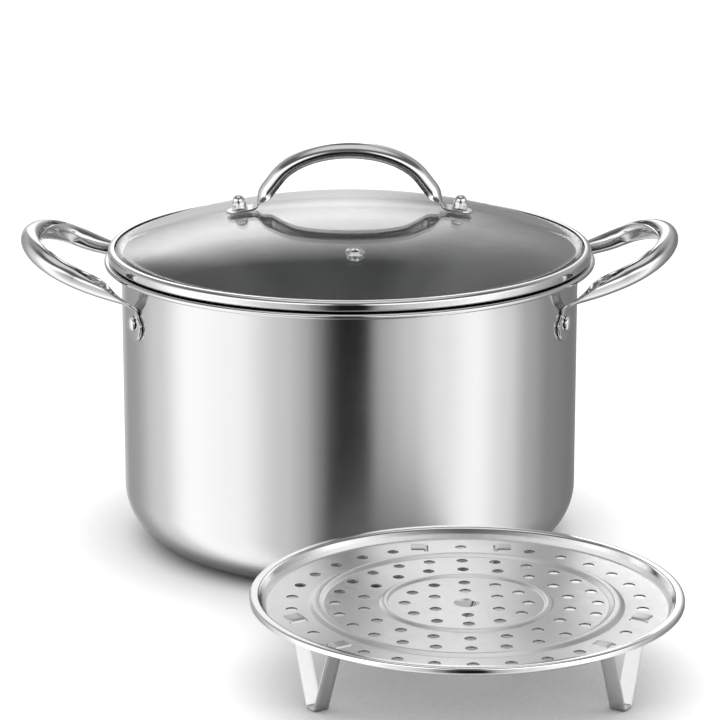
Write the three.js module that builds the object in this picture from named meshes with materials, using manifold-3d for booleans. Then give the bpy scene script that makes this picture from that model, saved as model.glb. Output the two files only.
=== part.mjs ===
// Stainless steel soup pot with a glass lid and a steaming rack.
// Millimetres, +Z up. The origin is the centre of the pot's base, on the surface it stands on.
// The side handles point along +X and -X, and the rack stands in front, towards -Y.

import * as THREE from 'three';
import { mergeVertices } from 'three/addons/utils/BufferGeometryUtils.js';
import Module from 'manifold-3d';

// Fits shared by all pieces
const SEAT = 0.3;                  // gap left between a piece and its seat
const HOLE_PLAY = 0.6;             // how much wider a hole's radius is than its shank
const ROUND = 40;                  // facets round the pot and the lid
const ROUND_RACK = 32;             // facets round the rack
const ROUND_SMALL = 10;            // facets round fasteners
const SECTION = 6;                 // facets across a rolled handle
const DRILL = 5;                   // how far a hole's cutter stands out on both sides
const HEAD_EDGE = 0.3;             // straight edge of a domed head, as a share of its height
const HEAD_SHOULDER = 0.75;        // a domed head's shoulder, as a share of its radius and height

// Pot
const POT_RADIUS = 120;            // outside of the wall
const POT_HEIGHT = 151.3;          // top of the rolled rim
const POT_WALL = 1;
const POT_FLOOR = 2.6;
const POT_CORNER = 29;             // outside radius where the wall turns into the base
const RIM_REACH = 9;               // rim beyond the wall
const RIM_BEAD = 1.2;              // radius of the rolled edge
const RIM_BEND = 1.5;              // radius of the turn from wall to rim

// Lid
const BAND_REACH = 7.1;            // band beyond the pot's wall
const BAND_SHEET = 0.6;
const BAND_CORNER = 1;
const BAND_LIP = 3.6;              // how far the lip folds over the glass
const SKIRT_DEPTH = 5.4;           // below the rim's top
const SKIRT_PLAY = 0.8;            // to the pot's inner wall
const GLASS_THICKNESS = 4;
const GLASS_RISE = 22.2;           // dome height over the band's lip
const GLASS_EDGE_DEPTH = 3.6;      // height from the glass's ground seat to its top under the lip

// Steam vent in the glass
const VENT_DISTANCE = 78;          // from the lid's centre
const VENT_HEADING = -88;          // degrees from +X to the vent
const VENT_BORE = 2;
const VENT_TUBE = 0.7;
const VENT_FLANGE = 5;
const VENT_FLANGE_HEIGHT = 1.6;
const VENT_WASHER = 4.4;
const VENT_WASHER_HEIGHT = 0.8;

// Lid handle and its two bolts
const BOLT_SPACING = 114.4;
const SHANK = 1.7;
const GASKET_RADIUS = 6;
const GASKET_HEIGHT = 0.5;
const WASHER_RADIUS = 4.8;
const WASHER_HEIGHT = 0.8;
const HEAD_RADIUS = 3.8;
const HEAD_HEIGHT = 2.4;
const NUT_FLATS = 7;
const NUT_HEX = 2.6;
const NUT_DOME = 3.2;
const NUT_HEIGHT = 7;
const NUT_FLANGE = 4.2;
const NUT_FLANGE_HEIGHT = 0.6;
const LID_HANDLE_SHEET = 1.2;
const LID_GRIP = 3.7;              // radius of the grip's section, at the middle of the sheet
const LID_GRIP_SPREAD = 1.4;       // section width over its height
const LID_GRIP_ROLL = 280;         // degrees of arc in the grip's section
const LID_HANDLE_RISE = 33.1;      // top of the arch over the top of the glass
const LID_ARCH_HALF = 40.6;        // half length of the arch's ellipse
const LID_ARCH_HEIGHT = 23.3;      // height of the arch's ellipse
const LID_FOOT_WIDTH = 14;
const LID_FOOT_TOE = 7.4;          // from the bolt to the foot's outer end
const LID_FOOT_HEEL = 8;           // from the bolt to where the leg turns up
const LID_HEEL_BEND = 2;           // setback of the bend at the heel
const LID_OPEN = 10;               // length over which the foot rolls up into the grip

// Side handles and their rivets
const HANDLE_SHEET = 1.5;
const HANDLE_GRIP = 4.6;           // radius of the grip's section, at the middle of the sheet
const HANDLE_NECK = 3.8;           // the same radius where the roll closes, near the pot
const HANDLE_ROLL = 335;           // degrees of arc in the grip's section
const HANDLE_SEAM = 45;            // degrees that the seam is turned up from the inside of the loop
const HANDLE_REACH = 52.6;         // from the pot's wall to the grip's far side
const HANDLE_TILT = 25.2;          // degrees that the loop rises outwards
const NOSE_DEPTH = 24;             // ellipse that rounds the loop's far end
const NOSE_HALF = 42.6;
const HANDLE_BEND = 3.5;           // setback of the bend above the tab
const BEND_DROP = 16.6;            // from the rim's top down to the bend
const HANDLE_OPEN = 16;            // length over which the tab rolls up into the grip
const TAB_HALF_SPAN = 48.5;        // half the distance between the two tabs
const TAB_WIDTH = 19;
const TAB_NECK = 11;
const RIVET_DROP = 25.2;           // from the rim's top down to the rivets
const RIVET_SHANK = 2.2;
const RIVET_HEAD = 4;
const RIVET_HEAD_HEIGHT = 2;
const RIVET_INNER_HEAD = 4.8;
const RIVET_INNER_HEIGHT = 1.4;

// Steaming rack
const RACK_HEADING = -76.5;        // degrees from +X to the rack's place
const RACK_GAP = 3;                // between the pot's rim and the rack
const RACK_RADIUS = 101.5;
const RACK_SHEET = 0.8;
const RACK_DECK = 37;              // top of the perforated deck
const RACK_WALL_HEIGHT = 5.5;      // from the deck up to the rim's top
const RACK_WALL_LEAN = 2.8;        // how far the wall leans out
const RACK_ROLL = 4.2;             // width of the rolled rim
const RACK_CENTRE_HOLE = 5.9;
const RACK_HOLE = 2.8;
const RACK_HOLE_SIDES = 6;
const RACK_RIBS = [{ radius: 38.7, width: 4, height: 1.4 }, { radius: 70.2, width: 6.8, height: 1.8 }];
const RACK_RINGS = [
  { radius: 17, count: 6, start: 30 },
  { radius: 28.9, count: 12, start: 0 },
  { radius: 48.6, count: 18, start: 10 },
  { radius: 61.4, count: 24, start: 0 },
];
const LEG_RING = 82.1;             // radius of the outer ring, which holds holes and leg slots
const LEG_RING_COUNT = 30;
const LEG_COUNT = 3;
const LEG_START = 90;              // degrees from +X to the first leg
const LEG_WIDTH = 8;
const LEG_SHEET = 0.9;
const LEG_FOLD = 7.4;              // length of the tab folded over the deck
const LEG_BEND = 1.6;              // setback of the folds
const LEG_FOOT = 3.2;              // half the width of the leg's foot

const wasm = await Module();
wasm.setup();

const Z = new THREE.Vector3(0, 0, 1);
const radians = THREE.MathUtils.degToRad;

const brushed = { color: 0xc4c5c6, roughness: 0.34, metalness: 1 };
const polished = { color: 0xd6d7d8, roughness: 0.12, metalness: 1 };
const clear = { color: 0xe4ecea, roughness: 0.03, metalness: 0, transparent: true, opacity: 0.35 };
const silicone = { color: 0xd9d9d4, roughness: 0.5, metalness: 0 };

const soupPot = new THREE.Group();

// Shared geometry

function signedVolume(geometry) {
  const p = geometry.getAttribute('position');
  const corners = [new THREE.Vector3(), new THREE.Vector3(), new THREE.Vector3()];
  let sum = 0;
  for (let i = 0; i < geometry.index.count; i += 3) {
    corners.forEach((corner, k) => corner.fromBufferAttribute(p, geometry.index.getX(i + k)));
    sum += corners[0].dot(corners[1].cross(corners[2]));
  }
  return sum / 6;
}

// One closed body with shared vertices, no empty triangles and its faces pointing out.
function closed(geometry) {
  geometry.deleteAttribute('normal');
  geometry.deleteAttribute('uv');
  const merged = mergeVertices(geometry);
  const index = merged.index.array;
  const kept = [];
  for (let i = 0; i < index.length; i += 3) {
    const [a, b, c] = [index[i], index[i + 1], index[i + 2]];
    if (a !== b && b !== c && c !== a) kept.push(a, b, c);
  }
  merged.setIndex(kept);
  if (signedVolume(merged) < 0) merged.setIndex(kept.reverse());
  return merged;
}

function toSolid(geometry) {
  const body = closed(geometry);
  return new wasm.Manifold(new wasm.Mesh({
    numProp: 3,
    vertProperties: new Float32Array(body.getAttribute('position').array),
    triVerts: new Uint32Array(body.index.array),
  }));
}

function fromSolid(solid) {
  const result = solid.getMesh();
  const geometry = new THREE.BufferGeometry();
  geometry.setAttribute('position', new THREE.BufferAttribute(result.vertProperties, 3));
  geometry.setIndex(new THREE.BufferAttribute(result.triVerts, 1));
  return geometry;
}

function cut(geometry, cutters) {
  let solid = toSolid(geometry);
  for (const cutter of cutters) solid = solid.subtract(toSolid(cutter));
  return fromSolid(solid);
}

// Points on an arc round (x, y), from one angle to another in degrees.
function arc(x, y, radius, from, to, steps) {
  const points = [];
  for (let i = 0; i <= steps; i++) {
    const angle = radians(from + (to - from) * i / steps);
    points.push(new THREE.Vector2(x + radius * Math.cos(angle), y + radius * Math.sin(angle)));
  }
  return points;
}

function point(r, z) {
  return new THREE.Vector2(r, z);
}

// Turns a (radius, height) outline about Z. An outline that is off the axis is closed on itself.
function revolve(outline, sides) {
  const onAxis = outline[0].x === 0 && outline[outline.length - 1].x === 0;
  const profile = onAxis ? outline : [...outline, outline[0].clone()];
  return closed(new THREE.LatheGeometry(profile, sides).rotateX(Math.PI / 2));
}

// A domed head from its axis out to its edge. It faces down if the height is negative.
function domedHead(radius, from, height) {
  return [
    point(0, from + height),
    point(radius * HEAD_SHOULDER, from + height * HEAD_SHOULDER),
    point(radius, from + height * HEAD_EDGE),
    point(radius, from),
  ];
}

// A plain pin along Z, used to cut holes.
function pin(radius, from, to, sides) {
  const geometry = new THREE.CylinderGeometry(radius, radius, to - from, sides);
  return geometry.rotateX(Math.PI / 2).translate(0, 0, (from + to) / 2);
}

// Outline of a sheet that follows a bent line, half its thickness to each side.
function sheetOutline(line, sheet) {
  const sides = [1, -1].map((side) => line.map((here, i) => {
    const before = line[Math.max(i - 1, 0)];
    const after = line[Math.min(i + 1, line.length - 1)];
    const into = (i > 0 ? here.clone().sub(before) : after.clone().sub(here)).normalize();
    const out = (i < line.length - 1 ? after.clone().sub(here) : into.clone()).normalize();
    const mitre = new THREE.Vector2(-into.y - out.y, into.x + out.x).normalize();
    const stretch = 1 / mitre.dot(new THREE.Vector2(-into.y, into.x));
    return here.clone().addScaledVector(mitre, side * stretch * sheet / 2);
  }));
  return [...sides[0], ...sides[1].reverse()];
}

function addMesh(parent, name, geometry, look) {
  geometry.computeVertexNormals();
  const mesh = new THREE.Mesh(geometry, new THREE.MeshStandardMaterial(look));
  mesh.name = name;
  parent.add(mesh);
  return mesh;
}

function smooth(t) {
  return THREE.MathUtils.smoothstep(t, 0, 1);
}

// A strip of sheet along a line of stations. Each station has its place, the direction it runs in,
// the direction its outer face looks in, its flat width and the angle its section is rolled through.
function rolledStrip(stations, sheet, facets) {
  const positions = [];
  const ring = 2 * (facets + 1);
  for (const { place, along, outer, width, roll = 0, lift = 0, spread = 1 } of stations) {
    const across = along.clone().cross(outer);
    for (let i = 0; i < ring; i++) {
      const onOuter = i <= facets;
      const u = (onOuter ? i : ring - 1 - i) / facets - 0.5;
      const offset = onOuter ? sheet / 2 : -sheet / 2;
      const bent = roll > 0.01;
      const radius = bent ? width / roll : 0;
      const angle = roll * u;
      const rise = bent ? (radius + offset) * Math.cos(angle) - radius : offset;
      const reach = bent ? (radius + offset) * Math.sin(angle) : width * u;
      const corner = place.clone().addScaledVector(outer, lift + rise);
      corner.addScaledVector(across, reach * spread);
      positions.push(corner.x, corner.y, corner.z);
    }
  }
  const index = [];
  const quad = (a, b, c, d) => index.push(a, b, c, a, c, d);
  for (let s = 0; s + 1 < stations.length; s++) {
    for (let i = 0; i < ring; i++) {
      const next = (i + 1) % ring;
      quad(s * ring + i, s * ring + next, (s + 1) * ring + next, (s + 1) * ring + i);
    }
  }
  const last = (stations.length - 1) * ring;
  for (let i = 0; i < facets; i++) {
    quad(i, ring - 1 - i, ring - 2 - i, i + 1);
    quad(last + i, last + i + 1, last + ring - 2 - i, last + ring - 1 - i);
  }
  const geometry = new THREE.BufferGeometry();
  geometry.setAttribute('position', new THREE.Float32BufferAttribute(positions, 3));
  geometry.setIndex(index);
  return closed(geometry);
}

// A direction made square to the line that it belongs to.
function squareTo(along, direction) {
  return direction.clone().addScaledVector(along, -direction.dot(along)).normalize();
}

// Half widths and setbacks that round off the end of a strip.
function roundEnd(radius, steps) {
  const first = 22;
  return Array.from({ length: steps }, (_, i) => {
    const angle = radians(first + (90 - first) * i / steps);
    return { setback: radius * (1 - Math.cos(angle)), width: 2 * radius * Math.sin(angle) };
  });
}

// Pot body: base, rounded corner, wall and rolled rim in one drawn sheet

const potInner = POT_RADIUS - POT_WALL;
const innerCorner = POT_CORNER - POT_WALL;
const rimBendZ = POT_HEIGHT - POT_WALL - RIM_BEND;
const rimBendR = POT_RADIUS + RIM_BEND;
const beadR = POT_RADIUS + RIM_REACH - RIM_BEAD;
const beadZ = POT_HEIGHT - RIM_BEAD;
const potOutline = [
  point(0, 0),
  ...arc(POT_RADIUS - POT_CORNER, POT_CORNER, POT_CORNER, -90, 0, 4),
  ...arc(rimBendR, rimBendZ, RIM_BEND, 180, 90, 2),
  ...arc(beadR, beadZ, RIM_BEAD, 170, 450, 5),
  ...arc(rimBendR, rimBendZ, RIM_BEND + POT_WALL, 90, 180, 2),
  ...arc(potInner - innerCorner, POT_FLOOR + innerCorner, innerCorner, 0, -90, 4),
  point(0, POT_FLOOR),
];

// Rivet places: two tabs to each handle, seated on the wall

const tabRadius = POT_RADIUS + SEAT + HANDLE_SHEET / 2;
const tabAngle = Math.asin(TAB_HALF_SPAN / tabRadius);
const rivetZ = POT_HEIGHT - RIVET_DROP;
const rivets = [
  { name: 'rivet_right_rear', turn: tabAngle },
  { name: 'rivet_right_front', turn: -tabAngle },
  { name: 'rivet_left_rear', turn: Math.PI - tabAngle },
  { name: 'rivet_left_front', turn: Math.PI + tabAngle },
];
const rivetHoles = rivets.map(({ turn }) => {
  const hole = pin(RIVET_SHANK + HOLE_PLAY, potInner - DRILL, tabRadius + DRILL, ROUND_SMALL);
  return hole.rotateY(Math.PI / 2).translate(0, 0, rivetZ).rotateZ(turn);
});

const pot = new THREE.Group();
soupPot.add(pot);
addMesh(pot, 'pot_body', cut(revolve(potOutline, ROUND), rivetHoles), brushed);

// Side handles: a strip riveted to the wall at both ends and rolled up into a hollow grip

// Where a line from a point outside an ellipse touches it, as an angle on the ellipse. The point is
// given from the ellipse's centre, and side picks one of the two lines.
function touchAngle(x, y, halfX, halfY, side) {
  const spread = Math.acos(1 / Math.hypot(x / halfX, y / halfY));
  return Math.atan2(y / halfY, x / halfX) + side * spread;
}

// The second half of a strip is the first one seen in a mirror.
function withMirror(stations, mirror) {
  const otherHalf = stations.slice(0, -1).map((station) => ({
    ...station,
    place: station.place.clone().multiply(mirror),
    along: station.along.clone().multiply(mirror).negate(),
    outer: station.outer.clone().multiply(mirror),
  }));
  return [...stations, ...otherHalf.reverse()];
}

function handleStations() {
  const wallOut = new THREE.Vector3(1, 0, 0).applyAxisAngle(Z, tabAngle);
  const down = Z.clone().negate();
  const tilt = radians(HANDLE_TILT);
  const foot = wallOut.clone().multiplyScalar(tabRadius);
  const bend = foot.clone().setZ(POT_HEIGHT - BEND_DROP);
  const inLoop = (x, y) => new THREE.Vector3(x, y, bend.z + (x - bend.x) * Math.tan(tilt));
  const noseCentre = POT_RADIUS + HANDLE_REACH - HANDLE_GRIP - HANDLE_SHEET / 2 - NOSE_DEPTH;
  const touch = touchAngle(bend.x - noseCentre, bend.y, NOSE_DEPTH, NOSE_HALF, -1);
  const onNose = (angle) => inLoop(
    noseCentre + NOSE_DEPTH * Math.cos(angle), NOSE_HALF * Math.sin(angle),
  );
  const arm = onNose(touch).sub(bend).normalize();
  const above = new THREE.Vector3(-Math.sin(tilt), 0, Math.cos(tilt));
  const leaving = squareTo(wallOut.clone().cross(Z), arm);
  const roll = radians(HANDLE_ROLL);
  const seam = radians(HANDLE_SEAM);
  const awayFromSeam = (along) => {
    const away = above.clone().cross(along).multiplyScalar(Math.cos(seam));
    return away.addScaledVector(above, -Math.sin(seam));
  };
  const stations = [];

  const onTab = (z, width) => stations.push({
    place: foot.clone().setZ(z), along: Z.clone(), outer: wallOut.clone(), width,
  });
  for (const { setback, width } of roundEnd(TAB_WIDTH / 2, 4)) {
    onTab(rivetZ - TAB_WIDTH / 2 + setback, width);
  }
  onTab(rivetZ, TAB_WIDTH);

  const fold = new THREE.QuadraticBezierCurve3(
    bend.clone().addScaledVector(Z, -HANDLE_BEND),
    bend,
    bend.clone().addScaledVector(leaving, HANDLE_BEND),
  );
  const foldSteps = 3;
  for (let i = 0; i <= foldSteps; i++) {
    const along = fold.getTangent(i / foldSteps);
    const outer = squareTo(along, wallOut.clone().lerp(down, smooth(i / foldSteps)));
    stations.push({ place: fold.getPoint(i / foldSteps), along, outer, width: TAB_NECK });
  }

  const start = fold.getPoint(1);
  const straight = onNose(touch).sub(start);
  const rollSteps = 5;
  for (let i = 1; i <= rollSteps; i++) {
    const t = i / rollSteps;
    const along = leaving.clone().lerp(arm, smooth(t)).normalize();
    stations.push({
      place: start.clone().addScaledVector(straight, t * HANDLE_OPEN / straight.length()),
      along,
      outer: squareTo(along, down.clone().lerp(awayFromSeam(arm), smooth(t))),
      width: THREE.MathUtils.lerp(TAB_NECK, roll * HANDLE_NECK, smooth(t)),
      roll: roll * smooth(t),
      lift: HANDLE_NECK * Math.sin(t * Math.PI / 2),
    });
  }

  const noseSteps = 5;
  for (let i = 0; i <= noseSteps; i++) {
    const angle = touch * (1 - i / noseSteps);
    const slope = new THREE.Vector3(NOSE_DEPTH * Math.sin(angle), -NOSE_HALF * Math.cos(angle), 0);
    const along = slope.setZ(slope.x * Math.tan(tilt)).normalize();
    const outer = awayFromSeam(along);
    const width = roll * HANDLE_GRIP;
    stations.push({ place: onNose(angle), along, outer, width, roll, lift: HANDLE_GRIP });
  }
  return withMirror(stations, new THREE.Vector3(1, -1, 1));
}

const handleHoles = rivetHoles.slice(0, 2).map((hole) => hole.clone());
const handleGeometry = cut(rolledStrip(handleStations(), HANDLE_SHEET, SECTION), handleHoles);
const handles = [{ name: 'handle_right', turn: 0 }, { name: 'handle_left', turn: Math.PI }];
for (const { name, turn } of handles) {
  addMesh(pot, name, handleGeometry.clone(), polished).rotation.z = turn;
}

// Rivets: a domed head outside the tab and a flatter one inside the wall

const rivetOut = POT_RADIUS + SEAT + HANDLE_SHEET + SEAT;
const wallFlat = potInner * Math.cos(Math.PI / ROUND);
const rivetIn = Math.sqrt(wallFlat ** 2 - RIVET_INNER_HEAD ** 2) - SEAT;
const rivetOutline = [
  ...domedHead(RIVET_INNER_HEAD, rivetIn, -RIVET_INNER_HEIGHT),
  point(RIVET_SHANK, rivetIn),
  point(RIVET_SHANK, rivetOut),
  ...domedHead(RIVET_HEAD, rivetOut, RIVET_HEAD_HEIGHT).reverse(),
];
const rivetGeometry = revolve(rivetOutline, ROUND_SMALL).rotateY(Math.PI / 2);
for (const { name, turn } of rivets) {
  const rivet = addMesh(pot, name, rivetGeometry.clone(), polished);
  rivet.position.z = rivetZ;
  rivet.rotation.z = turn;
}

// Lid glass: a dome with a ground seat round its edge

const lid = new THREE.Group();
soupPot.add(lid);
const bandRadius = POT_RADIUS + BAND_REACH;
const bandBottom = POT_HEIGHT + SEAT;
const bandInner = bandRadius - BAND_SHEET;
const glassEdge = bandInner - SEAT;
const glassSeat = bandBottom + BAND_SHEET + SEAT;
const lipRadius = bandRadius - BAND_LIP;
const lipUnder = glassSeat + GLASS_EDGE_DEPTH + SEAT;
const glassApex = glassSeat + GLASS_EDGE_DEPTH + GLASS_RISE;
const domeRadius = (lipRadius ** 2 + GLASS_RISE ** 2) / (2 * GLASS_RISE);
const domeCentre = glassApex - domeRadius;
const underRadius = domeRadius - GLASS_THICKNESS;
const degrees = THREE.MathUtils.radToDeg;
const edgeAngle = degrees(Math.acos(glassEdge / domeRadius));
const seatAngle = degrees(Math.asin((glassSeat - domeCentre) / underRadius));
const domeSteps = 6;
const glassOutline = [
  ...arc(0, domeCentre, underRadius, 90, seatAngle, domeSteps),
  point(glassEdge, glassSeat),
  ...arc(0, domeCentre, domeRadius, edgeAngle, 90, domeSteps),
];
// The flat facets under the dome lie this much below the true curve
const facetSag = underRadius * (1 - Math.cos(radians((90 - seatAngle) / domeSteps / 2)));
const glassUnder = underRadius - facetSag - SEAT;
glassOutline[0].x = 0;
glassOutline[glassOutline.length - 1].x = 0;

// A frame on the glass at a distance from the lid's centre, with its Z square to the glass
function onGlass(distance, heading) {
  const frame = new THREE.Group();
  const tilt = new THREE.Group();
  frame.rotation.z = radians(heading);
  frame.position.z = domeCentre;
  tilt.rotation.y = Math.asin(distance / domeRadius);
  frame.add(tilt);
  lid.add(frame);
  frame.updateMatrixWorld(true);
  return tilt;
}

const vent = onGlass(VENT_DISTANCE, VENT_HEADING);
const bolts = [
  { side: 'right', frame: onGlass(BOLT_SPACING / 2, 0) },
  { side: 'left', frame: onGlass(BOLT_SPACING / 2, 180) },
];
const ventOuter = VENT_BORE + VENT_TUBE;

function throughGlass(frame, radius) {
  const hole = pin(radius + HOLE_PLAY, underRadius - DRILL, domeRadius + DRILL, ROUND_SMALL);
  return hole.applyMatrix4(frame.matrixWorld);
}

const glassHoles = [
  throughGlass(vent, ventOuter),
  ...bolts.map(({ frame }) => throughGlass(frame, SHANK)),
];
addMesh(lid, 'lid_glass', cut(revolve(glassOutline, ROUND), glassHoles), clear);

// Lid band: sheet folded round the glass's edge, with a skirt that drops inside the pot

const skirtOuter = potInner - SKIRT_PLAY;
const skirtInner = skirtOuter - BAND_SHEET;
const bandTop = lipUnder + BAND_SHEET;
const cornerR = bandRadius - BAND_CORNER;
const cornerZ = bandTop - BAND_CORNER;
const bandOutline = [
  point(skirtInner, POT_HEIGHT - SKIRT_DEPTH),
  point(skirtOuter, POT_HEIGHT - SKIRT_DEPTH),
  point(skirtOuter, bandBottom),
  point(bandRadius, bandBottom),
  ...arc(cornerR, cornerZ, BAND_CORNER, 0, 90, 2),
  point(lipRadius, bandTop),
  point(lipRadius, lipUnder),
  ...arc(cornerR, cornerZ, BAND_CORNER - BAND_SHEET, 90, 0, 1),
  point(bandInner, bandBottom + BAND_SHEET),
  point(skirtInner, bandBottom + BAND_SHEET),
];
addMesh(lid, 'lid_band', revolve(bandOutline, ROUND), polished);

// Steam vent: an eyelet through the glass, closed over a washer below

const ventTop = domeRadius + SEAT;
const washerTop = glassUnder;
const washerBottom = washerTop - VENT_WASHER_HEIGHT;
const flareTop = washerBottom - SEAT;
const eyeletOutline = [
  point(VENT_BORE, flareTop - VENT_TUBE),
  point(ventOuter + VENT_TUBE, flareTop - VENT_TUBE),
  point(ventOuter + VENT_TUBE, flareTop),
  point(ventOuter, flareTop),
  point(ventOuter, ventTop),
  point(VENT_FLANGE, ventTop),
  point(VENT_FLANGE, ventTop + VENT_FLANGE_HEIGHT / 2),
  point(VENT_FLANGE - VENT_FLANGE_HEIGHT, ventTop + VENT_FLANGE_HEIGHT),
  point(VENT_BORE + VENT_TUBE / 2, ventTop + VENT_FLANGE_HEIGHT),
  point(VENT_BORE, ventTop + VENT_FLANGE_HEIGHT / 2),
];
addMesh(vent, 'vent_eyelet', revolve(eyeletOutline, ROUND_SMALL), polished);

function ringOutline(inner, outer, from, to) {
  return [point(inner, from), point(outer, from), point(outer, to), point(inner, to)];
}

addMesh(
  vent, 'vent_washer',
  revolve(ringOutline(ventOuter + SEAT, VENT_WASHER, washerBottom, washerTop), ROUND_SMALL), polished,
);

// Lid handle: a strip bolted down at both feet and rolled under along the arch

const gasketFrom = domeRadius + SEAT;
const footUnder = gasketFrom + GASKET_HEIGHT + SEAT;
const footMiddle = footUnder + LID_HANDLE_SHEET / 2;
const footTop = footUnder + LID_HANDLE_SHEET;

function lidHandleStations() {
  const tilt = Math.asin(BOLT_SPACING / 2 / domeRadius);
  const glassOut = new THREE.Vector3(Math.sin(tilt), 0, Math.cos(tilt));
  const inward = new THREE.Vector3(-Math.cos(tilt), 0, Math.sin(tilt));
  const bolt = glassOut.clone().multiplyScalar(footMiddle).setZ(domeCentre + glassOut.z * footMiddle);
  const heel = bolt.clone().addScaledVector(inward, LID_FOOT_HEEL);
  const archZ = glassApex + LID_HANDLE_RISE - LID_HANDLE_SHEET / 2 - LID_GRIP - LID_ARCH_HEIGHT;
  const touch = touchAngle(heel.x, heel.z - archZ, LID_ARCH_HALF, LID_ARCH_HEIGHT, 1);
  const onArch = (angle) => new THREE.Vector3(
    LID_ARCH_HALF * Math.cos(angle), 0, archZ + LID_ARCH_HEIGHT * Math.sin(angle),
  );
  const leg = onArch(touch).sub(heel).normalize();
  const roll = radians(LID_GRIP_ROLL);
  const gripWidth = roll * LID_GRIP;
  const stations = [];

  const onFoot = (distance, width) => stations.push({
    place: bolt.clone().addScaledVector(inward, distance),
    along: inward.clone(),
    outer: glassOut.clone(),
    width,
  });
  for (const { setback, width } of roundEnd(LID_FOOT_WIDTH / 2, 3)) {
    onFoot(setback - LID_FOOT_TOE, width);
  }
  onFoot(LID_FOOT_WIDTH / 2 - LID_FOOT_TOE, LID_FOOT_WIDTH);

  const addRolled = (place, along, opened, lifted) => stations.push({
    place,
    along,
    outer: new THREE.Vector3(along.z, 0, -along.x),
    width: THREE.MathUtils.lerp(LID_FOOT_WIDTH, gripWidth, opened),
    roll: roll * opened,
    lift: LID_GRIP * lifted,
    spread: THREE.MathUtils.lerp(1, LID_GRIP_SPREAD, opened),
  });
  const fold = new THREE.QuadraticBezierCurve3(
    heel.clone().addScaledVector(inward, -LID_HEEL_BEND),
    heel,
    heel.clone().addScaledVector(leg, LID_HEEL_BEND),
  );
  const foldSteps = 3;
  for (let i = 0; i <= foldSteps; i++) {
    addRolled(fold.getPoint(i / foldSteps), fold.getTangent(i / foldSteps), 0, 0);
  }

  const start = fold.getPoint(1);
  const openSteps = 4;
  for (let i = 1; i <= openSteps; i++) {
    const t = i / openSteps;
    const place = start.clone().addScaledVector(leg, LID_OPEN * t);
    addRolled(place, leg.clone(), smooth(t), Math.sin(t * Math.PI / 2));
  }

  const archSteps = 5;
  for (let i = 0; i <= archSteps; i++) {
    const angle = THREE.MathUtils.lerp(touch, Math.PI / 2, i / archSteps);
    const slope = new THREE.Vector3(
      -LID_ARCH_HALF * Math.sin(angle), 0, LID_ARCH_HEIGHT * Math.cos(angle),
    );
    addRolled(onArch(angle), slope.normalize(), 1, 1);
  }
  return withMirror(stations, new THREE.Vector3(-1, 1, 1));
}

const footHoles = bolts.map(({ frame }) => throughGlass(frame, SHANK));
const lidStrip = rolledStrip(lidHandleStations(), LID_HANDLE_SHEET, SECTION);
addMesh(lid, 'lid_handle', cut(lidStrip, footHoles), polished);

// Bolts: screw from below, gaskets on both sides of the glass, washer, and a domed nut on the foot

const nutFrom = footTop + SEAT;
const nutTop = nutFrom + NUT_HEIGHT;
const shankTop = nutFrom + NUT_HEX + NUT_FLANGE_HEIGHT;
const lowGasketTop = glassUnder;
const lowGasketBottom = lowGasketTop - GASKET_HEIGHT;
const lowWasherTop = lowGasketBottom - SEAT;
const lowWasherBottom = lowWasherTop - WASHER_HEIGHT;
const headTop = lowWasherBottom - SEAT;
const shankHole = SHANK + SEAT;

const screwOutline = [
  ...domedHead(HEAD_RADIUS, headTop, -HEAD_HEIGHT),
  point(SHANK, headTop),
  point(SHANK, shankTop),
  point(0, shankTop),
];

function domedNut() {
  const hexTop = nutFrom + NUT_FLANGE_HEIGHT + NUT_HEX;
  const hex = pin(NUT_FLATS / 2 / Math.cos(Math.PI / 6), nutFrom, hexTop, 6);
  const domeFoot = nutTop - NUT_DOME;
  const dome = revolve([
    point(0, nutFrom),
    point(NUT_FLANGE, nutFrom),
    point(NUT_FLANGE, nutFrom + NUT_FLANGE_HEIGHT),
    point(NUT_DOME, nutFrom + 2 * NUT_FLANGE_HEIGHT),
    ...arc(0, domeFoot, NUT_DOME, 0, 90, 3),
  ].map((corner, i, all) => (i === all.length - 1 ? corner.setX(0) : corner)), ROUND_SMALL);
  const bore = pin(shankHole, nutFrom - SEAT, shankTop + SEAT, ROUND_SMALL);
  return fromSolid(toSolid(hex).add(toSolid(dome)).subtract(toSolid(bore)));
}

for (const { side, frame } of bolts) {
  addMesh(frame, `lid_screw_${side}`, revolve(screwOutline, ROUND_SMALL), polished);
  addMesh(frame, `domed_nut_${side}`, domedNut(), polished);
  const topGasket = ringOutline(shankHole, GASKET_RADIUS, gasketFrom, gasketFrom + GASKET_HEIGHT);
  addMesh(frame, `top_gasket_${side}`, revolve(topGasket, ROUND_SMALL), silicone);
  const lowGasket = ringOutline(shankHole, GASKET_RADIUS, lowGasketBottom, lowGasketTop);
  addMesh(frame, `low_gasket_${side}`, revolve(lowGasket, ROUND_SMALL), silicone);
  const washer = ringOutline(shankHole, WASHER_RADIUS, lowWasherBottom, lowWasherTop);
  addMesh(frame, `lid_washer_${side}`, revolve(washer, ROUND_SMALL), polished);
}

// Rack plate: pressed sheet with two ribs, a leaning wall, a rolled rim, holes and leg slots

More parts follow.
